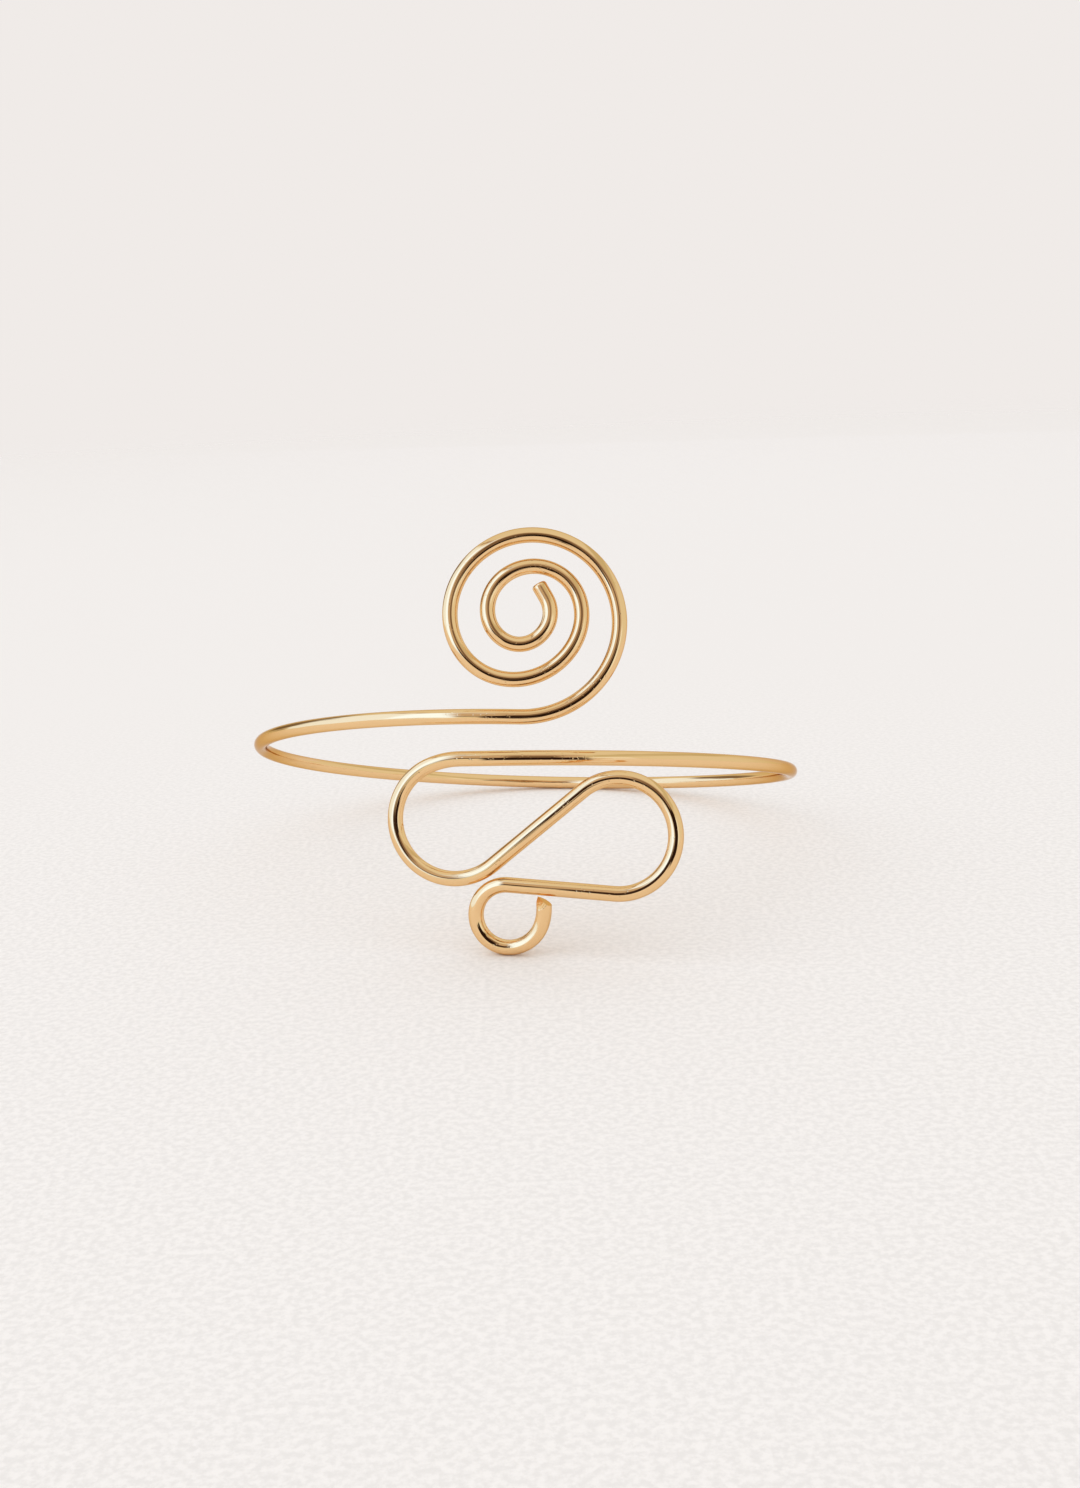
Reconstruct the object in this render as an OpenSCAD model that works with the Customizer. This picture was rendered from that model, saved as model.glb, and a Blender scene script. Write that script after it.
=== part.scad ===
/* Upper arm cuff bent from one length of round wire.

   The wire is bent flat first: a spiral, a long straight run and a serpentine
   that ends in a small loop. Then only the long run is rolled round the arm
   into the band, a little over one turn, so that the spiral and the serpentine
   stay flat and stand tangent to the band, one above it and one below.
   The cuff is drawn lying as it rests by itself, on its end loop and on the
   back of the band. X is to the right, Y is away from the front, Z is up, and
   the origin is under the middle of its bounding box. */

/* [Wire] */
// Diameter of the round wire
wire_d = 2; // [1.6:0.1:2.4]
// Length of the bevel filed round the spiral's inner end
tip_bevel = 0.4; // [0.1:0.05:0.5]
// Slant of the cut across the loop's end, in degrees
cut_slant = 28; // [0:1:35]

/* [Band] */
// Inside diameter of the band, where the arm goes
band_inner_d = 77; // [66:1:95]
// How far the upper strand's front end lies above the middle of the back
upper_rise = 1.8; // [0.5:0.1:3]
// How far the lower strand's front end lies below the middle of the back
lower_drop = 3.5; // [2.5:0.1:6]
// Climb of the wire across the back, for each half turn
back_climb = 5; // [3:0.1:7]
// Where the spiral leaves the band, in degrees left of the front
upper_end = 0.5; // [0:0.5:10]
// Where the serpentine leaves the band, in degrees left of the front
lower_end = 12; // [5:0.5:18]

/* [Spiral] */
// Bend radius of the wire where it leaves the band for the spiral
spiral_r = 13.2; // [12.2:0.1:15]
// How far the spiral leans forward of the band's axis, in degrees
spiral_lean = 3; // [0:1:30]
// Bend radius of the last hook in the middle of the spiral
hook_r = 3.9; // [3.2:0.1:4.4]
// Length of the straight tip inside the hook
tip_len = 2.1; // [1:0.1:2.6]

/* [Serpentine] */
// Bend radius of the two wide bends
bend_r = 7.3; // [6.5:0.1:8.5]
// Straight run between the two wide bends
diagonal_len = 15.1; // [13:0.1:18]
// How far the serpentine leans forward of the band's axis, in degrees, back when negative
serpentine_lean = -4; // [-8:1:20]

/* [End loop] */
// Bend radius of the end loop
loop_r = 4.1; // [3.5:0.1:4.6]
// Gap between the end loop and the left wide bend
loop_gap = 0.4; // [0.3:0.1:2]
// Gap between the cut end and the strand above it
end_gap = 0.2; // [0.15:0.05:1]
// How far the end loop is bent back from the serpentine's plane, in degrees
loop_back = 10; // [0:1:15]

/* [Rest] */
// Roll of the resting cuff to the right, in degrees, where it balances
rest_roll = 1.9; // [-4:0.1:4]

/* [Mesh] */
// Number of flat sides round the wire
wire_sides = 16; // [10:2:16]
// Largest turn from one ring of the wire's surface to the next, in degrees
ring_turn = 6; // [6:0.5:12]

/* [Hidden] */

wire_r = wire_d / 2;
band_r = band_inner_d / 2 + wire_r;

// The spiral from the band inwards. Columns: turn in degrees, and bend radius
// at the end of that turn as a share of spiral_r.
SPIRAL_TURNS = [
    [80, 0.887],
    [80, 0.846],
    [80, 0.789],
    [80, 0.590],
    [80, 0.702],
    [80, 0.454],
    [80, 0.478],
    [80, 0.370],
    [80, 0.272],
    [66, 0.342]
];
HOOK_TURN = 55;

// The serpentine's left bend starts wide, tightens, and widens a little again.
// Columns: turn in degrees, and bend radius as a share of bend_r.
LEFT_TURNS = [
    [22, 1.48],
    [89, 1.01],
    [107, 1.09]
];
RIGHT_TURN = 223;

// The end loop widens towards its cut end. Columns: turn in degrees, and bend
// radius as a share of loop_r.
LOOP_TURNS = [
    [181, 1],
    [72, 1.155],
    [20, 1.6]
];

// Small vector helpers.
function unit(v) = v / norm(v);
function flat_dir(a) = [cos(a), sin(a)];
function lowest(list, axis) = min([for (p = list) p[axis]]);
function highest(list, axis) = max([for (p = list) p[axis]]);
function last(list) = list[len(list) - 1];
function rest_of(list) = [for (i = [1 : 1 : len(list) - 1]) list[i]];

// A flat route is a list of [x, y, heading], one entry for each ring of wire.
// Adds a straight run to the end of a flat route.
function with_straight(route, run) =
    let (p = last(route))
    concat(route, [[p[0] + run * cos(p[2]), p[1] + run * sin(p[2]), p[2]]]);

// Adds a bend whose radius goes evenly from r0 to r1, to the left for a
// positive turn and to the right for a negative one.
function with_bend(route, r0, r1, turn) =
    let (
        steps = max(2, ceil(abs(turn) / ring_turn)),
        part = turn / steps,
        start = last(route),
        added = [for (
            i = 0, x = start[0], y = start[1], a = start[2];
            i <= steps;
            chord = 2 * (r0 + (r1 - r0) * (i + 0.5) / steps) * sin(abs(part) / 2),
            x = x + chord * cos(a + part / 2),
            y = y + chord * sin(a + part / 2),
            a = a + part,
            i = i + 1
        ) [x, y, a]]
    )
    concat(route, rest_of(added));

// Adds the bends of a table in which each row has one radius.
function with_bends(route, table, size, row = 0) =
    row >= len(table) ? route
    : with_bends(
        with_bend(route, table[row][1] * size, table[row][1] * size, table[row][0]),
        table, size, row + 1
    );

// Adds the bends of a table in which the radius changes along each row.
function with_easing(route, table, size, share = 1, row = 0) =
    row >= len(table) ? route
    : with_easing(
        with_bend(route, share * size, table[row][1] * size, table[row][0]),
        table, size, table[row][1], row + 1
    );

// The spiral, flat, from the band inwards.
spiral_coils = with_easing([[0, 0, 0]], SPIRAL_TURNS, spiral_r);
spiral_hook = with_bend(spiral_coils, hook_r, hook_r, HOOK_TURN);
spiral_flat = with_straight(spiral_hook, tip_len);

// The serpentine, flat, from the band downwards: left bend, diagonal, right bend.
left_flat = with_bends([[0, 0, 0]], LEFT_TURNS, bend_r);
left_end = last(left_flat);
left_r = last(LEFT_TURNS)[1] * bend_r;
left_centre = [left_end[0], left_end[1]] + left_r * flat_dir(left_end[2] + 90);
right_flat = with_bend(with_straight(left_flat, diagonal_len), bend_r, bend_r, -RIGHT_TURN);

// The lower run is as long as leaves the end loop its gap from the left bend.
right_end = last(right_flat);
lower_dir = flat_dir(right_end[2]);
loop_side = flat_dir(right_end[2] + 90);
loop_r0 = LOOP_TURNS[0][1] * loop_r;
reach = [right_end[0], right_end[1]] + loop_r0 * loop_side - left_centre;
apart = left_r + loop_r0 + wire_d + loop_gap;
along = reach * lower_dir;
lower_len = -along - sqrt(max(0, along * along - reach * reach + apart * apart));

// The end loop closes towards the lower run and stops its gap short of it.
loop_flat = with_bends(with_straight(right_flat, lower_len), LOOP_TURNS, loop_r);
loop_end = last(loop_flat);
loop_depth = ([loop_end[0], loop_end[1]] - [right_end[0], right_end[1]]) * loop_side;
tip_rise = wire_r * tan(cut_slant);
end_len = (loop_depth - wire_r - end_gap - tip_rise) / abs(flat_dir(loop_end[2]) * loop_side);
serpentine_flat = with_straight(loop_flat, end_len);

// The end loop is bent back about the lower run. The rest of the serpentine lies
// on the other side of that run, and stays where it is. The last entry is the
// height above the serpentine's plane.
function bent_back(q) =
    let (over = max(0, ([q[0], q[1]] - [right_end[0], right_end[1]]) * loop_side))
    [
        q[0] - over * (1 - cos(loop_back)) * loop_side[0],
        q[1] - over * (1 - cos(loop_back)) * loop_side[1],
        q[2],
        -over * sin(loop_back)
    ];

// The band. Angle 0 is the front, and 180 the back, going round by the left.
function climb(turn) =
    let (
        t = 1 - turn / 180,
        bow = (upper_rise - lower_drop) / 2,
        ease = (upper_rise + lower_drop) / 2 - back_climb
    )
    back_climb * t + bow * t * t + ease * t * t * t;
function band_point(turn) = [-band_r * sin(turn), -band_r * cos(turn), climb(turn)];
band_first = upper_end;
band_last = 360 + lower_end;
function band_heading(turn) = unit(band_point(turn + 0.01) - band_point(turn - 0.01));

// The plane of an ornament: it touches the band at the given angle, and is
// turned about the wire there until its far side leans out by the given angle.
function plane_out(turn) =
    let (h = band_heading(turn), r = [-sin(turn), -cos(turn), 0])
    unit(r - (r * h) * h);
function plane_up(turn) =
    let (h = band_heading(turn))
    unit([0, 0, 1] - h[2] * h);
function plane_side(turn, side, lean) = side * cos(lean) * plane_up(turn) + sin(lean) * plane_out(turn);
function placed(route, turn, along_sign, side, lean) =
    let (
        p = band_point(turn),
        u = along_sign * band_heading(turn),
        v = plane_side(turn, side, lean)
    )
    [for (q = route) p + q[0] * u + q[1] * v + (len(q) > 3 ? q[3] : 0) * cross(u, v)];

// The whole centre line, from the spiral's tip to the cut end of the loop.
spiral_out = placed(spiral_flat, band_first, -1, 1, spiral_lean);
spiral_in = [for (i = [len(spiral_out) - 1 : -1 : 0]) spiral_out[i]];
band_steps = ceil((band_last - band_first) / ring_turn);
band_inner = [
    for (i = [1 : band_steps - 1])
        band_point(band_first + (band_last - band_first) * i / band_steps)
];
serpentine_bent = [for (q = serpentine_flat) bent_back(q)];
serpentine = placed(serpentine_bent, band_last, 1, -1, serpentine_lean);
centre_line = concat(spiral_in, band_inner, serpentine);

// The cuff tips back until the lowest points of its front and back are level.
function tipped(p, tilt) =
    let (
        y = p[1] * cos(tilt) + p[2] * sin(tilt),
        z = -p[1] * sin(tilt) + p[2] * cos(tilt)
    )
    [p[0] * cos(rest_roll) + z * sin(rest_roll), y, -p[0] * sin(rest_roll) + z * cos(rest_roll)];
function front_drop(tilt) =
    lowest([for (p = serpentine) tipped(p, tilt)], 2) - lowest([for (p = band_inner) tipped(p, tilt)], 2);
function level_tilt(low, high, tries) =
    let (mid = (low + high) / 2)
    tries == 0 ? mid
    : front_drop(mid) < 0 ? level_tilt(mid, high, tries - 1)
    : level_tilt(low, mid, tries - 1);
rest_tilt = level_tilt(0, 45, 20);
lying = [for (p = centre_line) tipped(p, rest_tilt)];

// Heading of the wire at each ring: the chord before and after, halved.
rings = len(lying);
headings = [
    for (i = [0 : rings - 1])
        unit(
            (i > 0 ? unit(lying[i] - lying[i - 1]) : [0, 0, 0])
            + (i < rings - 1 ? unit(lying[i + 1] - lying[i]) : [0, 0, 0])
        )
];

// A side vector carried along the wire without twisting.
function squared(v, h) = unit(v - (v * h) * h);
sides = [for (
    i = 0, v = squared([0, -1, 0], headings[0]);
    i < rings;
    i = i + 1, v = i < rings ? squared(v, headings[i]) : v
) v];

// One ring of the wire's surface. slide gives each of its points a shift along
// the wire for each millimetre across it, in the direction dir.
function ring(i, r, shift = 0, slide = 0, dir = [0, 0, 0]) = [
    for (k = [0 : wire_sides - 1])
        let (
            a = 360 * (k + 0.5) / wire_sides,
            off = r * (cos(a) * sides[i] + sin(a) * cross(headings[i], sides[i]))
        )
        lying[i] + off + (shift + slide * (off * dir)) * headings[i]
];

// The slanted cut is longest on the inside of the end loop.
function posed(point) =
    tipped(placed([bent_back(point)], band_last, 1, -1, serpentine_lean)[0], rest_tilt);
loop_inward = unit(posed([loop_end[0], loop_end[1]] + flat_dir(loop_end[2] + 90)) - posed(loop_end));
surface = concat(
    ring(0, wire_r - tip_bevel),
    ring(0, wire_r, tip_bevel),
    [for (i = [1 : rings - 2]) each ring(i, wire_r)],
    ring(rings - 1, wire_r, 0, tan(cut_slant), loop_inward)
);
surface_rings = len(surface) / wire_sides;
faces = concat(
    [[for (k = [0 : wire_sides - 1]) k]],
    [[for (k = [wire_sides - 1 : -1 : 0]) (surface_rings - 1) * wire_sides + k]],
    [for (i = [0 : surface_rings - 2], k = [0 : wire_sides - 1], half = [0, 1])
        let (
            a = i * wire_sides + k,
            b = i * wire_sides + (k + 1) % wire_sides
        )
        half == 0 ? [a, a + wire_sides, b] : [b, a + wire_sides, b + wire_sides]
    ]
);
footing = [
    (lowest(surface, 0) + highest(surface, 0)) / 2,
    (lowest(surface, 1) + highest(surface, 1)) / 2,
    lowest(surface, 2)
];

module wire() {
    color([0.86, 0.70, 0.45])
        translate(-footing)
            polyhedron(points = surface, faces = faces, convexity = 10);
}

wire();
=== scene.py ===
# %% [markdown]
# A wire arm cuff, bent from one length of wire, which is taken to be gold-plated
# brass. This notebook bends the wire the way its maker may have done: a spiral, a
# band round the arm, and a serpentine that ends in a small loop. The frame holds
# the size and place of the cuff, so nothing has to be fitted by eye afterwards.

from math import copysign, cos, degrees, radians, sin, tan

import bmesh
import bpy
from mathutils import Matrix, Quaternion, Vector


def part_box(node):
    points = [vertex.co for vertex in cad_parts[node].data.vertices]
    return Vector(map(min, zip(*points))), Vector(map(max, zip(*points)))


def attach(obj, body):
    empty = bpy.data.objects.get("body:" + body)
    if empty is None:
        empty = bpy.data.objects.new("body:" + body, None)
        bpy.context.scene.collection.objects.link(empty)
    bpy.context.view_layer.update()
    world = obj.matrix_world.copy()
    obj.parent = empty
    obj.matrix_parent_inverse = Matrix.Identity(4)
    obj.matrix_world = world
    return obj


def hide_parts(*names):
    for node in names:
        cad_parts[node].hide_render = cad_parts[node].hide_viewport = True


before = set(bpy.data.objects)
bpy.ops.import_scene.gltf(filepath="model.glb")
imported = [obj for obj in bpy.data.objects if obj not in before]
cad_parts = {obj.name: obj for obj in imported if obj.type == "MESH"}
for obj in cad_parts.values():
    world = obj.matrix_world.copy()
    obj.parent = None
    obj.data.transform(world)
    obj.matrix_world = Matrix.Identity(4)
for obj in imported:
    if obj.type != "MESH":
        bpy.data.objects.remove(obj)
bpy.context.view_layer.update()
wire_low, wire_high = (Vector(corner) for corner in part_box("wire"))

# %% [markdown]
# The camera stands in front of the cuff, a little above it, and quite near, at
# about a quarter of a metre. It is held level to within three degrees. A near
# camera makes the front of a small thing look larger than its back, so the
# distance matters as much as the angle.

# %% Camera
CAMERA_PLACE = Vector((0.00441, -0.24951, 0.07875))
CAMERA_PITCH = radians(76.329)
CAMERA_ROLL = radians(2.519)
CAMERA_YAW = radians(-0.128)
FOCAL_PIXELS = 1737.9
FRAME_HEIGHT_PIXELS = 1488
SENSOR = 36.0
NEAREST_SEEN = 0.01

camera_data = bpy.data.cameras.new("camera")
camera_data.sensor_width = SENSOR
camera_data.lens = SENSOR * FOCAL_PIXELS / FRAME_HEIGHT_PIXELS
camera_data.clip_start = NEAREST_SEEN
camera = bpy.data.objects.new("camera", camera_data)
camera.location = CAMERA_PLACE
camera.rotation_euler = (CAMERA_PITCH, CAMERA_ROLL, CAMERA_YAW)
bpy.context.scene.collection.objects.link(camera)
bpy.context.scene.camera = camera
print("lens in mm:", round(camera_data.lens, 2))

# %% [markdown]
# The wire's route has the same values as the solid model. The maker probably bent
# the spiral and the serpentine flat, round pegs and with pliers, and then rolled
# only the long run between them round a form. So each ornament is a row of
# bends in one plane, and the band is one slow turn that climbs a little.

# %% Sizes of the wire and the band
WIRE_D = 0.002
WIRE_R = WIRE_D / 2
BAND_INNER_D = 0.077
BAND_R = BAND_INNER_D / 2 + WIRE_R
UPPER_RISE = 0.0018
LOWER_DROP = 0.0035
BACK_CLIMB = 0.005
UPPER_END = 0.5
LOWER_END = 12
print("wire and band across, in mm:", 1000 * WIRE_D, 2000 * BAND_R)

# %% Sizes of the spiral
SPIRAL_R = 0.0132
SPIRAL_LEAN = radians(3)
# Columns: turn in degrees, and bend radius at its end as a share of SPIRAL_R.
SPIRAL_TURNS = [
    (80, 0.887), (80, 0.846), (80, 0.789), (80, 0.590), (80, 0.702),
    (80, 0.454), (80, 0.478), (80, 0.370), (80, 0.272), (66, 0.342),
]
HOOK_R = 0.0039
HOOK_TURN = 55
TIP_LEN = 0.0021
TIP_BEVEL = 0.0004
print("turns of the spiral:", round((sum(turn for turn, _ in SPIRAL_TURNS) + HOOK_TURN) / 360, 2))

# %% Sizes of the serpentine
BEND_R = 0.0073
SERPENTINE_LEAN = radians(-4)
# Columns: turn in degrees, and bend radius as a share of BEND_R.
LEFT_TURNS = [(22, 1.48), (89, 1.01), (107, 1.09)]
DIAGONAL_LEN = 0.0151
RIGHT_TURN = 223
print("left and right bend turn by:", sum(turn for turn, _ in LEFT_TURNS), RIGHT_TURN)

# %% Sizes of the end loop, and how the cuff rests
LOOP_R = 0.0041
# Columns: turn in degrees, and bend radius as a share of LOOP_R.
LOOP_TURNS = [(181, 1), (72, 1.155), (20, 1.6)]
LOOP_BACK = radians(10)
LOOP_GAP = 0.0004
END_GAP = 0.0002
CUT_SLANT = radians(28)

REST_TILT = radians(19.6467)
REST_ROLL = radians(1.9)
print("the end loop turns by:", sum(turn for turn, _ in LOOP_TURNS))

# %% [markdown]
# Sweeping a round section is the natural way to model wire. A curve with a
# bevel would do it too, but here the section is a bmesh circle that is spun
# round the centre of each bend, one small step at a time, just as the wire goes
# round its peg. Each ring of the mesh then lies square to the wire, and its
# distance along the wire is known. Every corner also remembers where it was in
# the straight wire before bending, in an attribute called unbent: the marks of
# drawing and of the pliers follow the wire, so their pattern must too.

# %% The growing wire
WIRE_SIDES = 40
TURN_STEP = radians(3)
STRAIGHT_STEP = 0.0008


class WireEnd:
    """The open end of a growing wire: its ring, place, heading and distance."""

    def __init__(self, mesh, unbent, ring, place, heading, along=0.0, sense=1):
        self.mesh, self.unbent, self.ring = mesh, unbent, ring
        self.place, self.heading = place.copy(), heading.normalized()
        self.along, self.sense = along, sense

    def corners(self):
        return [part for part in self.ring if isinstance(part, bmesh.types.BMVert)]

    def mark(self, length):
        """Writes the new distance along the wire on the ring's corners."""
        self.along += self.sense * length
        for corner in self.corners():
            corner[self.unbent].x = self.along

    def spin(self, centre, axis, angle, lift=0.0, length=0.0):
        """Grows the wire by one step round a centre."""
        grown = bmesh.ops.spin(
            self.mesh, geom=self.ring, cent=centre, axis=axis,
            dvec=axis * lift, angle=angle, steps=1, use_duplicate=False,
        )
        self.ring = grown["geom_last"]
        turn = Quaternion(axis, angle)
        self.place = centre + turn @ (self.place - centre) + axis * lift
        self.heading = turn @ self.heading
        self.mark(length)

    def straight(self, length, stride=STRAIGHT_STEP):
        """Grows the wire straight ahead."""
        steps = max(1, round(length / stride))
        for _ in range(steps):
            edges = [part for part in self.ring if isinstance(part, bmesh.types.BMEdge)]
            grown = bmesh.ops.extrude_edge_only(self.mesh, edges=edges)
            self.ring = [part for part in grown["geom"] if not isinstance(part, bmesh.types.BMFace)]
            step = self.heading * (length / steps)
            bmesh.ops.translate(self.mesh, verts=self.corners(), vec=step)
            self.place = self.place + step
            self.mark(length / steps)

    def bend(self, normal, turn, radius, radius_end=None):
        """Bends the wire in the plane with this normal, to the left for a positive turn."""
        radius_end = radius if radius_end is None else radius_end
        steps = max(2, round(abs(turn) / TURN_STEP))
        for step in range(steps):
            here = radius + (radius_end - radius) * (step + 0.5) / steps
            inward = normal.cross(self.heading) * copysign(1, turn)
            self.spin(self.place + inward * here, normal, turn / steps, length=here * abs(turn) / steps)

    def face(self, heading):
        """Turns the end ring a trace, square to the exact heading."""
        turn = self.heading.rotation_difference(heading)
        bmesh.ops.rotate(self.mesh, verts=self.corners(), cent=self.place, matrix=turn.to_matrix())
        self.heading = heading.normalized()


print("degrees from ring to ring in a bend:", round(degrees(TURN_STEP), 1))

# %% [markdown]
# The band is a helix of a little over one turn. Its climb isn't even: the two
# strands at the front sit closer together than a plain helix would put them,
# perhaps because the maker closed the band a little by hand after rolling it. A
# short cubic in the turn gives that ease. The ornaments' planes contain the wire's
# heading where they leave the band, and lean by a few degrees. How far they lean
# is a guess, because one picture doesn't show it.

# %% The band's path
TRACE_OF_TURN = 0.01


def climb(turn):
    share = 1 - turn / 180
    bow = (UPPER_RISE - LOWER_DROP) / 2
    ease = (UPPER_RISE + LOWER_DROP) / 2 - BACK_CLIMB
    return BACK_CLIMB * share + bow * share ** 2 + ease * share ** 3


def outward(turn):
    return Vector((-sin(radians(turn)), -cos(radians(turn)), 0))


def band_point(turn):
    return outward(turn) * BAND_R + Vector((0, 0, climb(turn)))


def band_heading(turn):
    return (band_point(turn + TRACE_OF_TURN) - band_point(turn - TRACE_OF_TURN)).normalized()


def lean_side(turn, side, lean):
    """The direction in which an ornament grows away from the band."""
    heading = band_heading(turn)
    up = (Vector((0, 0, 1)) - heading * heading.z).normalized()
    out = (outward(turn) - heading * outward(turn).dot(heading)).normalized()
    return side * cos(lean) * up + sin(lean) * out


print("one end of the band is higher by mm:", round(1000 * (climb(UPPER_END) - climb(360 + LOWER_END)), 2))

# %% [markdown]
# The first ring of the mesh is where the spiral leaves the band, because from
# there the wire grows both ways: forward round the arm, and back into the spiral.
# It is a hundredth thinner than the solid's wire, whose flat sides it replaces, so
# that the round section stays within the same outline.

# %% Start the wire where the spiral leaves the band
SECTION_R = 0.99 * WIRE_R
wire_mesh = bmesh.new()
unbent = wire_mesh.verts.layers.float_vector.new("unbent")
first_ring = bmesh.ops.create_circle(wire_mesh, segments=WIRE_SIDES, radius=SECTION_R)["verts"]
for corner in first_ring:
    corner[unbent] = (0, corner.co.x, corner.co.y)
start, start_heading = band_point(UPPER_END), band_heading(UPPER_END)
stand = Vector((0, 0, 1)).rotation_difference(start_heading).to_matrix().to_4x4()
bmesh.ops.transform(wire_mesh, matrix=Matrix.Translation(start) @ stand, verts=first_ring)
first_geometry = first_ring + wire_mesh.edges[:]
print("corners in a ring:", len(first_ring))

# %% [markdown]
# The band is rolled in small steps. Each step spins the ring round the band's
# upright axis and lifts it a trace. Such a turn keeps the ring upright, while the
# real wire tips as it climbs, so after each step the ring is set square again.

# %% Roll the band
band_end = WireEnd(wire_mesh, unbent, first_geometry, start, start_heading)
band_turn = 360 + LOWER_END - UPPER_END
band_steps = round(band_turn / degrees(TURN_STEP))
for step in range(band_steps):
    turn, next_turn = (UPPER_END + band_turn * s / band_steps for s in (step, step + 1))
    lift = climb(next_turn) - climb(turn)
    band_end.spin(
        Vector((0, 0, climb(turn))), Vector((0, 0, 1)), -radians(next_turn - turn), lift,
        (band_point(next_turn) - band_point(turn)).length,
    )
    band_end.face(band_heading(next_turn))
print("band ends at", [round(1000 * c, 2) for c in band_end.place])
print("mm of wire in the band:", round(1000 * band_end.along, 1))

# %% [markdown]
# The spiral starts with a wide arc and tightens towards its middle, where the
# last half turn was closed with round-nosed pliers into a hook. Its radius
# eases along each 80 degrees of turn, so no joint between two arcs shows.

# %% Wind the spiral
spiral_side = lean_side(UPPER_END, 1, SPIRAL_LEAN)
spiral_end = WireEnd(wire_mesh, unbent, first_geometry, start, -start_heading, sense=-1)
spiral_normal = (-start_heading).cross(spiral_side).normalized()
share = 1.0
for turn, next_share in SPIRAL_TURNS:
    spiral_end.bend(spiral_normal, radians(turn), share * SPIRAL_R, next_share * SPIRAL_R)
    share = next_share
spiral_end.bend(spiral_normal, radians(HOOK_TURN), HOOK_R)
spiral_end.straight(TIP_LEN)
print("spiral takes mm of wire:", round(-1000 * spiral_end.along, 1))

# %% [markdown]
# The serpentine is a left bend, a straight diagonal and a right bend, all in one
# plane. It goes on where the band ends, so the same end of the wire grows on.

# %% Bend the serpentine
serpentine_side = lean_side(360 + LOWER_END, -1, SERPENTINE_LEAN)
serpentine_normal = band_end.heading.cross(serpentine_side).normalized()
wire_end = band_end
for turn, size in LEFT_TURNS:
    wire_end.bend(serpentine_normal, radians(turn), size * BEND_R)
left_r = LEFT_TURNS[-1][1] * BEND_R
left_centre = wire_end.place + left_r * serpentine_normal.cross(wire_end.heading)
wire_end.straight(DIAGONAL_LEN)
wire_end.bend(serpentine_normal, -radians(RIGHT_TURN), BEND_R)
print("right bend ends after mm:", round(1000 * wire_end.along, 1))

# %% [markdown]
# A straight run leads back to the left. It is just long enough for the end loop
# to sit close under the left bend, so its length comes from that gap and isn't
# typed in: the two bends' centres are as far apart as their radii, one wire and
# the gap together.

# %% Run back under the left bend
loop_r0 = LOOP_TURNS[0][1] * LOOP_R
loop_side = serpentine_normal.cross(wire_end.heading)
reach = wire_end.place + loop_r0 * loop_side - left_centre
apart = left_r + loop_r0 + WIRE_D + LOOP_GAP
along = reach.dot(wire_end.heading)
lower_len = -along - max(0.0, along ** 2 - reach.length_squared + apart ** 2) ** 0.5
lower_place = wire_end.place.copy()
wire_end.straight(lower_len)
print("lower run in mm:", round(1000 * lower_len, 2))

# %% [markdown]
# The end loop is taken to stand a little more upright than the serpentine, as if
# pliers had bent it back. The sign of it is weak: what it mirrors differs from what
# the wide bends mirror. Its plane is the serpentine's, turned about the lower run.
# The last straight bit has rings a tenth of a millimetre apart, because the cut
# will clip them, and a clipped large face would mirror the room askew.

# %% Close the end loop
CUT_SPARE = 2 * WIRE_R
CUT_STEP = 0.0001
loop_normal = Quaternion(wire_end.heading, -LOOP_BACK) @ serpentine_normal
loop_side = loop_normal.cross(wire_end.heading)
for turn, size in LOOP_TURNS:
    wire_end.bend(loop_normal, radians(turn), size * LOOP_R)
depth = (wire_end.place - lower_place).dot(loop_side)
rise = WIRE_R * tan(CUT_SLANT)
end_len = (depth - WIRE_R - END_GAP - rise) / abs(wire_end.heading.dot(loop_side))
wire_end.straight(end_len + CUT_SPARE, CUT_STEP)
cut_point = wire_end.place - wire_end.heading * CUT_SPARE
print("straight end in mm:", round(1000 * end_len, 2))

# %% [markdown]
# The loop's end was nipped off with side cutters. Their jaws leave a slanted
# face across the wire and a second, steeper facet on the front, which catch the
# light as a bright, rough patch. Two cutting planes make the same shape: the
# wire is first grown a little too long and then cut back with bisect_plane,
# like the real one. Both ends of the wire are closed before the first cut.

# %% Close the wire's ends
PLATED, SHEARED = 0, 1


def fill_cut(mesh, material_index):
    """Closes each open rim with one face."""
    rim = [edge for edge in mesh.edges if edge.is_boundary]
    filled = bmesh.ops.contextual_create(mesh, geom=rim)
    for face in filled["faces"]:
        face.material_index = material_index
    return len(filled["faces"])


print("ends closed:", fill_cut(wire_mesh, PLATED))

# %% Where the two cuts lie
FACET_STEEPNESS = 1.376
FACET_TURN = radians(27)
FACET_RISE = 0.9
heading, inward = wire_end.heading, loop_normal.cross(wire_end.heading)
front = -loop_normal if loop_normal.y > 0 else loop_normal
slant_normal = (heading * cos(CUT_SLANT) - inward * sin(CUT_SLANT)).normalized()
facet_face = inward * sin(FACET_TURN) + front * cos(FACET_TURN)
facet_normal = (heading + facet_face * FACET_STEEPNESS).normalized()
facet_place = cut_point + heading * FACET_RISE * rise
print("facet from the wire, in degrees:", round(degrees(heading.angle(facet_normal)), 1))

# %% Nip off the end of the loop
NIPPED_FROM = wire_end.along - 4 * WIRE_R
SAME_PLACE = 1e-7


def nipped_stretch():
    """The last few millimetres of the wire: its corners, edges and faces."""
    corners = [v for v in wire_mesh.verts if v[unbent].x > NIPPED_FROM]
    inside = set(corners)
    edges = [e for e in wire_mesh.edges if set(e.verts) <= inside]
    faces = [f for f in wire_mesh.faces if set(f.verts) <= inside]
    return corners + edges + faces


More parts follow.
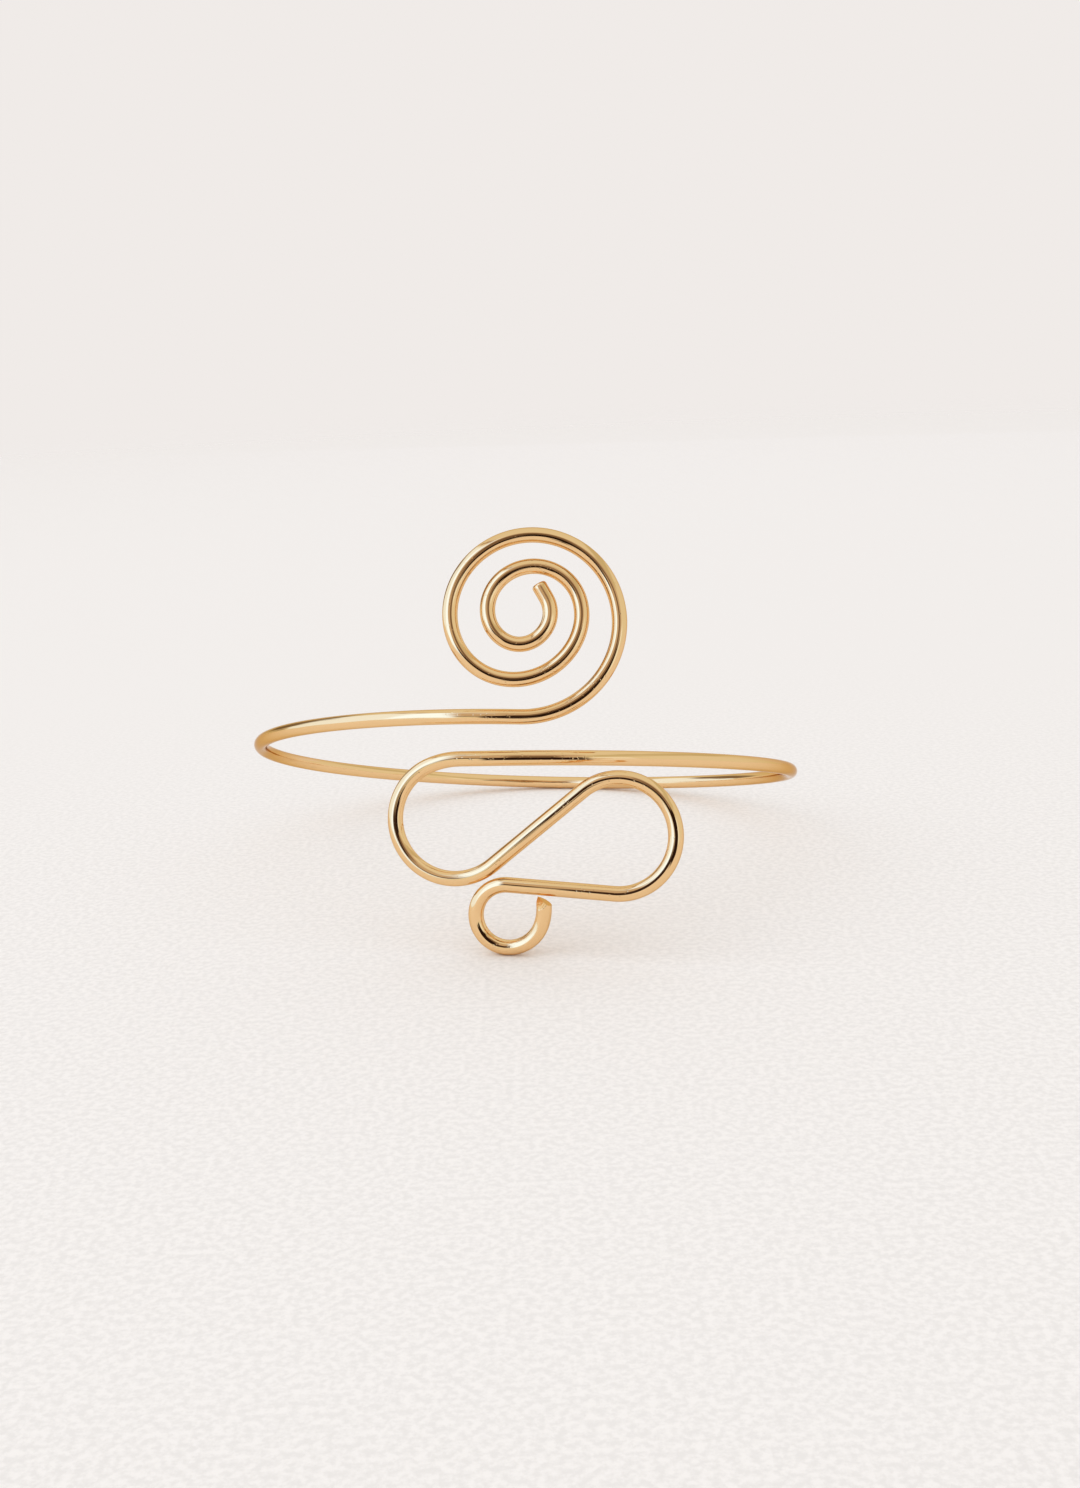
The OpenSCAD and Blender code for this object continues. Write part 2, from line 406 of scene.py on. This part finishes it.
for place, normal in ((cut_point, slant_normal), (facet_place, facet_normal)):
    bmesh.ops.bisect_plane(
        wire_mesh, geom=nipped_stretch(), dist=SAME_PLACE,
        plane_co=place, plane_no=normal, clear_outer=True,
    )
    fill_cut(wire_mesh, SHEARED)
print("faces on the nipped end:", sum(f.material_index == SHEARED for f in wire_mesh.faces))

# %% [markdown]
# The spiral's inner end was filed: its rim is round, so that it doesn't scratch.
# A bevel on the rim with a profile of 0.5 gives that quarter round. The rim is
# found by its distance along the wire, since no other ring lies that far out.

# %% File the spiral's end
SAME_RING = 1e-6
rim = [e for e in wire_mesh.edges if all(v[unbent].x < spiral_end.along + SAME_RING for v in e.verts)]
filed = bmesh.ops.bevel(
    wire_mesh, geom=rim, offset=TIP_BEVEL, offset_type="OFFSET", segments=5,
    profile=0.5, affect="EDGES", material=-1,
)
print("faces round the filed rim:", len(filed["faces"]))

# %% [markdown]
# Until here the band's axis stood upright. On a table the cuff lies on the bottom
# of its end loop and the back of its band, so the whole wire is tipped back and
# rolled a trace. The frame's box of the wire says where it then stands.

# %% Lay the wire down as it rests
bmesh.ops.recalc_face_normals(wire_mesh, faces=wire_mesh.faces[:])
lying = Matrix.Rotation(REST_ROLL, 4, "Y") @ Matrix.Rotation(-REST_TILT, 4, "X")
bmesh.ops.transform(wire_mesh, matrix=lying, verts=wire_mesh.verts[:])
low = Vector(min(v.co[k] for v in wire_mesh.verts) for k in range(3))
high = Vector(max(v.co[k] for v in wire_mesh.verts) for k in range(3))
middle = (wire_low + wire_high) / 2 - (low + high) / 2
bmesh.ops.translate(wire_mesh, verts=wire_mesh.verts[:], vec=(middle.x, middle.y, wire_low.z - low.z))
print("size in mm:", [round(1000 * c, 2) for c in high - low])
print("frame's in mm:", [round(1000 * c, 2) for c in wire_high - wire_low])

# %% [markdown]
# The wire's side is shaded smooth, also where a cut has clipped its faces. The
# cuts and the filed end stay flat, and a flat face keeps its edge sharp by itself.

# %% Make the wire an object
SIDE_FACE_CORNERS = 7
for face in wire_mesh.faces:
    face.smooth = face.material_index == PLATED and len(face.verts) <= SIDE_FACE_CORNERS
wire_data = bpy.data.meshes.new("cuff_wire")
wire_mesh.to_mesh(wire_data)
wire_mesh.free()
cuff_wire = bpy.data.objects.new("cuff_wire", wire_data)
bpy.context.scene.collection.objects.link(cuff_wire)
print("triangles:", sum(len(p.vertices) - 2 for p in wire_data.polygons))

# %% [markdown]
# Shader trees are long to write out, so a few small helpers make them: one adds a
# node and joins its inputs, one works out a sum, and one goes smoothly from one
# value to another.

# %% Helpers for materials
def new_material(name):
    material = bpy.data.materials.new(name)
    material.use_nodes = True
    tree = material.node_tree
    return material, tree, tree.nodes["Principled BSDF"]


def node(tree, kind, inputs=(), **settings):
    """Adds a shader node, sets it up, and joins or fills its inputs."""
    made = tree.nodes.new("ShaderNode" + kind)
    for name, value in settings.items():
        setattr(made, name, value)
    for name, value in dict(inputs).items():
        if isinstance(value, bpy.types.NodeSocket):
            tree.links.new(value, made.inputs[name])
        else:
            made.inputs[name].default_value = value
    return made


def math_node(tree, operation, a, b=0.0):
    """Works out one sum, product or the like."""
    return node(tree, "Math", {0: a, 1: b}, operation=operation).outputs[0]


def ramp_between(tree, value, low, high, to_low, to_high):
    """Goes smoothly from to_low to to_high while value goes from low to high."""
    made = node(tree, "MapRange", {"Value": value}, interpolation_type="SMOOTHSTEP")
    for name, number in (("From Min", low), ("From Max", high), ("To Min", to_low), ("To Max", to_high)):
        made.inputs[name].default_value = number
    return made.outputs["Result"]


# %% [markdown]
# Wire is pulled through a die, which leaves very fine lines along it. Bending by
# hand adds slow waves, and the jaws of the pliers leave small nicks, more in some
# stretches than in others. All three are a height in metres on the straight wire,
# read from the unbent attribute, so that they follow every bend. One node group
# holds them, because the plated side and the cut end both use it.

# %% Surface of drawn wire: what goes in and out
drawn_surface = bpy.data.node_groups.new("drawn_surface", "ShaderNodeTree")
for name, depth in (("Wave Depth", 2e-5), ("Line Depth", 3e-6), ("Nick Depth", 1e-5)):
    socket = drawn_surface.interface.new_socket(name, in_out="INPUT", socket_type="NodeSocketFloat")
    socket.default_value = depth
drawn_surface.interface.new_socket("Normal", in_out="OUTPUT", socket_type="NodeSocketVector")
depths = drawn_surface.nodes.new("NodeGroupInput").outputs
on_wire = node(drawn_surface, "Attribute", attribute_name="unbent").outputs["Vector"]
print("depths to choose:", [socket.name for socket in depths if socket.name])

# %% Waves and lines
# Each is so many features a metre: along the wire, and twice across it.
WAVES = (130, 500, 500)
LINES = (25, 3200, 3200)


def pattern(features, kind="TexNoise", **inputs):
    """A texture on the straight wire."""
    scaled = node(drawn_surface, "VectorMath", {0: on_wire, 1: features}, operation="MULTIPLY").outputs[0]
    return node(drawn_surface, kind, {"Vector": scaled, "Scale": 1.0, **inputs})


waves = pattern(WAVES, Detail=1.0).outputs["Fac"]
lines = pattern(LINES, Detail=2.0).outputs["Fac"]
print("a wave is mm long:", round(1000 / WAVES[0], 1), "and a line mm wide:", round(1000 / LINES[1], 2))

# %% [markdown]
# A nick is the middle of a cell of a Voronoi pattern, pressed in. Each cell has a
# random colour, and only the cells whose red is high become nicks. How high it
# has to be falls where the pliers gripped, so the nicks crowd there.

# %% Nicks of the pliers
NICKS = (3000, 4200, 4200)
NICK_MIDDLE, NICK_EDGE = 0.10, 0.42
RARE, COMMON = 0.98, 0.68
GRIP_CORE = 0.3
# Columns: middle of a gripped stretch and its half length, in metres along the wire.
GRIPS = [
    (-0.088, 0.004), (-0.072, 0.003), (-0.008, 0.007), (0.005, 0.006), (0.247, 0.013),
    (0.299, 0.003), (0.3095, 0.003), (0.3325, 0.005), (0.3565, 0.003), (0.361, 0.003),
]
dots = pattern(NICKS, "TexVoronoi")
dent = ramp_between(drawn_surface, dots.outputs["Distance"], NICK_MIDDLE, NICK_EDGE, -1, 0)
chosen = node(drawn_surface, "SeparateXYZ", {0: dots.outputs["Color"]}).outputs["X"]
along_wire = node(drawn_surface, "SeparateXYZ", {0: on_wire}).outputs["X"]
crowd = 0.0
for grip, half in GRIPS:
    away = math_node(drawn_surface, "ABSOLUTE", math_node(drawn_surface, "SUBTRACT", along_wire, grip))
    gripped = ramp_between(drawn_surface, away, GRIP_CORE * half, half, 1, 0)
    crowd = math_node(drawn_surface, "MAXIMUM", crowd, gripped)
rarity = ramp_between(drawn_surface, crowd, 0, 1, RARE, COMMON)
nicks = math_node(drawn_surface, "MULTIPLY", dent, math_node(drawn_surface, "GREATER_THAN", chosen, rarity))
print("gripped stretches:", len(GRIPS))

# %% Add the three heights and bump the surface
height = math_node(drawn_surface, "MULTIPLY", waves, depths["Wave Depth"])
for part, depth in ((lines, "Line Depth"), (nicks, "Nick Depth")):
    deep = math_node(drawn_surface, "MULTIPLY", part, depths[depth])
    height = math_node(drawn_surface, "ADD", height, deep)
bump = node(drawn_surface, "Bump", {"Strength": 1.0, "Distance": 1.0, "Height": height})
group_end = drawn_surface.nodes.new("NodeGroupOutput")
drawn_surface.links.new(bump.outputs["Normal"], group_end.inputs["Normal"])
print("nodes in the group:", len(drawn_surface.nodes))

# %% [markdown]
# Gold plate on brass is a plain metal: it has no colour of its own, only a tinted
# mirror of the room. A metallic Principled shader with a low roughness does it,
# and the room around it does the rest. Its specular tint darkens and warms the
# thin edges of the wire, where the eye only grazes it. The nipped end was
# sheared, so it is rougher, and its gold is painted redder: a painted reflection
# of the warm wire beside it.

# %% Gold
GOLD = (0.895, 0.60, 0.305)
# The sheared gold is painted redder than the plated gold: a painted reflection of the warm wire beside the
# cut end.
SHEARED_GOLD_WITH_PAINTED_REFLECTION = (0.86, 0.50, 0.19)
EDGE_TINT = (0.70, 0.52, 0.32)


def gold(name, colour, roughness, waves, lines, nicks):
    """A gold with this roughness and with marks of these depths, in metres."""
    material, tree, shader = new_material(name)
    shader.inputs["Base Color"].default_value = (*colour, 1)
    shader.inputs["Metallic"].default_value = 1
    shader.inputs["Roughness"].default_value = roughness
    shader.inputs["Specular Tint"].default_value = (*EDGE_TINT, 1)
    surface = tree.nodes.new("ShaderNodeGroup")
    surface.node_tree = drawn_surface
    for mark, depth in (("Wave Depth", waves), ("Line Depth", lines), ("Nick Depth", nicks)):
        surface.inputs[mark].default_value = depth
    tree.links.new(surface.outputs["Normal"], shader.inputs["Normal"])
    return material


plated = gold("plated_gold", GOLD, roughness=0.04, waves=9e-5, lines=4e-5, nicks=1.2e-5)
# The cut end's redder colour is a painted reflection of the warm wire beside it; its roughness comes from
# the shearing.
sheared = gold("sheared_gold_painted_reflection", SHEARED_GOLD_WITH_PAINTED_REFLECTION, roughness=0.25, waves=2e-5, lines=4e-5, nicks=1.5e-5)
wire_data.materials.append(plated)
wire_data.materials.append(sheared)
print("materials:", [material.name for material in wire_data.materials])

# %% [markdown]
# The frame has to know which of its pieces this wire stands for. The cuff has one
# piece and no joint, so the wire rides on the root.

# %% Put the wire in the cuff's place
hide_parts("wire")
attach(cuff_wire, "root")
print("wire stands in for:", list(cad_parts))

# %% [markdown]
# The floor is a wide disc of matte, faintly grained paper. The room beyond it is
# the world. Far out the paper fades into the world's own pale colour, which is
# nearly the same, so that no hard horizon shows from any side. The grain is only
# a slight change of the paper's whiteness, strongest near the cuff.

# %% Floor
FLOOR_R = 3.0
floor_mesh = bmesh.new()
bmesh.ops.create_circle(floor_mesh, cap_ends=True, segments=96, radius=FLOOR_R)
floor_data = bpy.data.meshes.new("floor")
floor_mesh.to_mesh(floor_data)
floor_mesh.free()
floor = bpy.data.objects.new("floor", floor_data)
bpy.context.scene.collection.objects.link(floor)
print("floor is", 2 * FLOOR_R, "m across")

# %% Paper
PAPER = (0.93, 0.90, 0.89)
GRAIN_MIDDLE = (0, -0.13, 0)
GRAIN_FULL, GRAIN_GONE = 0.13, 0.32
GRAINS_PER_METRE = 1300
GRAIN_LOW, GRAIN_HIGH = 0.35, 0.65
GRAIN_DEPTH = 0.05
FADE_START, FADE_END = 0.3, 1.5
paper, tree, shader = new_material("paper")
place = node(tree, "TexCoord").outputs["Object"]
away = node(tree, "VectorMath", {0: place, 1: GRAIN_MIDDLE}, operation="DISTANCE").outputs["Value"]
noise = node(tree, "TexNoise", {"Vector": place, "Scale": GRAINS_PER_METRE, "Detail": 3, "Roughness": 0.6})
grain = ramp_between(tree, noise.outputs["Fac"], GRAIN_LOW, GRAIN_HIGH, GRAIN_DEPTH, -GRAIN_DEPTH)
change = math_node(tree, "MULTIPLY", ramp_between(tree, away, GRAIN_FULL, GRAIN_GONE, 1, 0), grain)
whiteness = math_node(tree, "ADD", 1.0, change)
white = node(tree, "VectorMath", {0: PAPER, "Scale": whiteness}, operation="SCALE").outputs["Vector"]
tree.links.new(white, shader.inputs["Base Color"])
shader.inputs["Roughness"].default_value = 0.9
shader.inputs["Specular IOR Level"].default_value = 0.1
out = node(tree, "VectorMath", {0: place}, operation="LENGTH").outputs["Value"]
tree.links.new(ramp_between(tree, out, FADE_START, FADE_END, 1, 0), shader.inputs["Alpha"])
floor_data.materials.append(paper)
print("paper fades out from", FADE_START, "to", FADE_END, "m")

# %% [markdown]
# What polished metal looks like is what it mirrors, so the room matters more
# than the lamps. The world shows another face to each kind of ray: pale walls
# with a hint of olive to the metal, even daylight to the matte floor, and the
# paper's own colour to the camera.

# %% Room
ROOM = (0.83, 0.86, 0.80)
SKYLIGHT = (0.897, 0.890, 0.871)
BACKDROP = (0.871, 0.831, 0.807)
world = bpy.data.worlds.new("studio")
world.use_nodes = True
tree = world.node_tree
room = tree.nodes["Background"]
room.inputs["Color"].default_value = (*ROOM, 1)
backdrop = node(tree, "Background", {"Color": (*BACKDROP, 1)})
skylight = node(tree, "Background", {"Color": (*SKYLIGHT, 1)})
path = node(tree, "LightPath").outputs
mirrored = node(tree, "MixShader", {0: path["Is Diffuse Ray"], 1: room.outputs[0], 2: skylight.outputs[0]})
seen = node(tree, "MixShader", {0: path["Is Camera Ray"], 1: mirrored.outputs[0], 2: backdrop.outputs[0]})
tree.links.new(seen.outputs[0], tree.nodes["World Output"].inputs["Surface"])
bpy.context.scene.world = world
bpy.context.scene.view_settings.view_transform = "Standard"
print("light on the floor from the sky:", SKYLIGHT)

# %% [markdown]
# All else that the metal mirrors is a card that only the metal sees: a wide
# bright window on the left, and in front a black block, where the camera stands,
# with a soft brown shape above it. Round wire squeezes the whole room into a thin
# line, and shows the block as a dark line along its middle. A card's distance
# matters too: a near one slides along the wire from bend to bend, a far one
# stays. Each card fades out at its edges, so that no streak starts abruptly.

# %% How a card is made
CUFF_MIDDLE = Vector((0, -0.03, 0.025))


def glow_that_fades(name, half_x, half_y, radiance, soft):
    """A material that glows in the middle of a card and is clear at its edges."""
    material, tree, shader = new_material(name)
    tree.nodes.remove(shader)
    spot = node(tree, "SeparateXYZ", {0: node(tree, "TexCoord").outputs["Object"]})
    masks = []
    for axis, half in (("X", half_x), ("Y", half_y)):
        side = math_node(tree, "ABSOLUTE", spot.outputs[axis])
        masks.append(ramp_between(tree, side, half * (1 - soft), half, 1, 0))
    glow = node(tree, "Emission", {"Color": (*radiance, 1)}).outputs[0]
    clear = node(tree, "BsdfTransparent").outputs[0]
    shown = node(tree, "MixShader", {0: math_node(tree, "MULTIPLY", *masks), 1: clear, 2: glow}).outputs[0]
    tree.links.new(shown, tree.nodes["Material Output"].inputs["Surface"])
    return material


def card(name, turn, rise, distance, wide, high, radiance, soft):
    """A card seen from the cuff at so many degrees right of the camera and above the floor.

    wide and high are in degrees too, and soft is the share of each half that fades out.
    """
    half_x, half_y = distance * tan(radians(wide / 2)), distance * tan(radians(high / 2))
    mesh = bmesh.new()
    bmesh.ops.create_grid(mesh, x_segments=1, y_segments=1, size=1)
    bmesh.ops.scale(mesh, vec=(half_x, half_y, 1), verts=mesh.verts[:])
    data = bpy.data.meshes.new(name)
    mesh.to_mesh(data)
    mesh.free()
    made = bpy.data.objects.new(name, data)
    bpy.context.scene.collection.objects.link(made)
    level = Vector((sin(radians(turn)), -cos(radians(turn)), 0)) * cos(radians(rise))
    out = level + Vector((0, 0, sin(radians(rise))))
    made.location = CUFF_MIDDLE + out * distance
    made.rotation_euler = out.to_track_quat("Z", "Y").to_euler()
    made.visible_camera = made.visible_diffuse = made.visible_shadow = False
    data.materials.append(glow_that_fades(name, half_x, half_y, radiance, soft))


# %% The window and the walls
card("olive_band", 88, 47, 2.0, 120, 22, (0.65, 0.64, 0.49), soft=0.5)
card("window", -77, 31, 1.6, 94, 66, (1.0, 1.3, 1.85), soft=0.15)
card("window_middle", -45, 31, 0.24, 42, 68, (1.12, 1.62, 2.65), soft=0.35)
card("window_edge", -25, 36, 1.2, 3, 56, (0.42, 0.34, 0.28), soft=0.5)
card("window_top", -74, 66, 1.2, 80, 4, (0.5, 0.42, 0.36), soft=0.5)
card("pale_patch", 41, 9, 0.15, 22, 28, (1.0, 1.15, 1.3), soft=0.4)
card("back_paper", 165, 6, 0.9, 70, 26, (0.90, 0.92, 1.1), soft=0.5)
card("dark_corner", -136, 20, 0.9, 34, 44, (0.24, 0.20, 0.16), soft=0.5)

# %% The dark shapes in front
card("brown_shape", -2, 33, 0.127, 66, 58, (0.62, 0.54, 0.46), soft=0.35)
card("dark_shape", 6, 26, 0.122, 30, 46, (0.21, 0.15, 0.11), soft=0.5)
card("dark_arm", -22, 16, 0.121, 22, 16, (0.06, 0.035, 0.025), soft=0.4)
card("camera_block", 5, 8, 0.118, 53, 36, (0.024, 0.012, 0.009), soft=0.2)

# %% [markdown]
# The window's light on the floor is a lamp of its own, at the window's place. It
# is large and weak, so the shadows are soft and faint, and the metal doesn't see
# it, because the window card is already there.

# %% Lamp for the floor
LAMP_WIDE, LAMP_HIGH = 2.4, 1.8
LAMP_WATTS = 8
LAMP_FROM_CUFF = Vector((-1.9, -0.5, 1.7))
lamp_data = bpy.data.lights.new("window_lamp", "AREA")
lamp_data.shape = "RECTANGLE"
lamp_data.size, lamp_data.size_y = LAMP_WIDE, LAMP_HIGH
lamp_data.energy = LAMP_WATTS
lamp = bpy.data.objects.new("window_lamp", lamp_data)
lamp.location = CUFF_MIDDLE + LAMP_FROM_CUFF
lamp.rotation_euler = (lamp.location - CUFF_MIDDLE).to_track_quat("Z", "Y").to_euler()
lamp.visible_glossy = lamp.visible_camera = False
bpy.context.scene.collection.objects.link(lamp)
print("lamp in W:", lamp_data.energy)
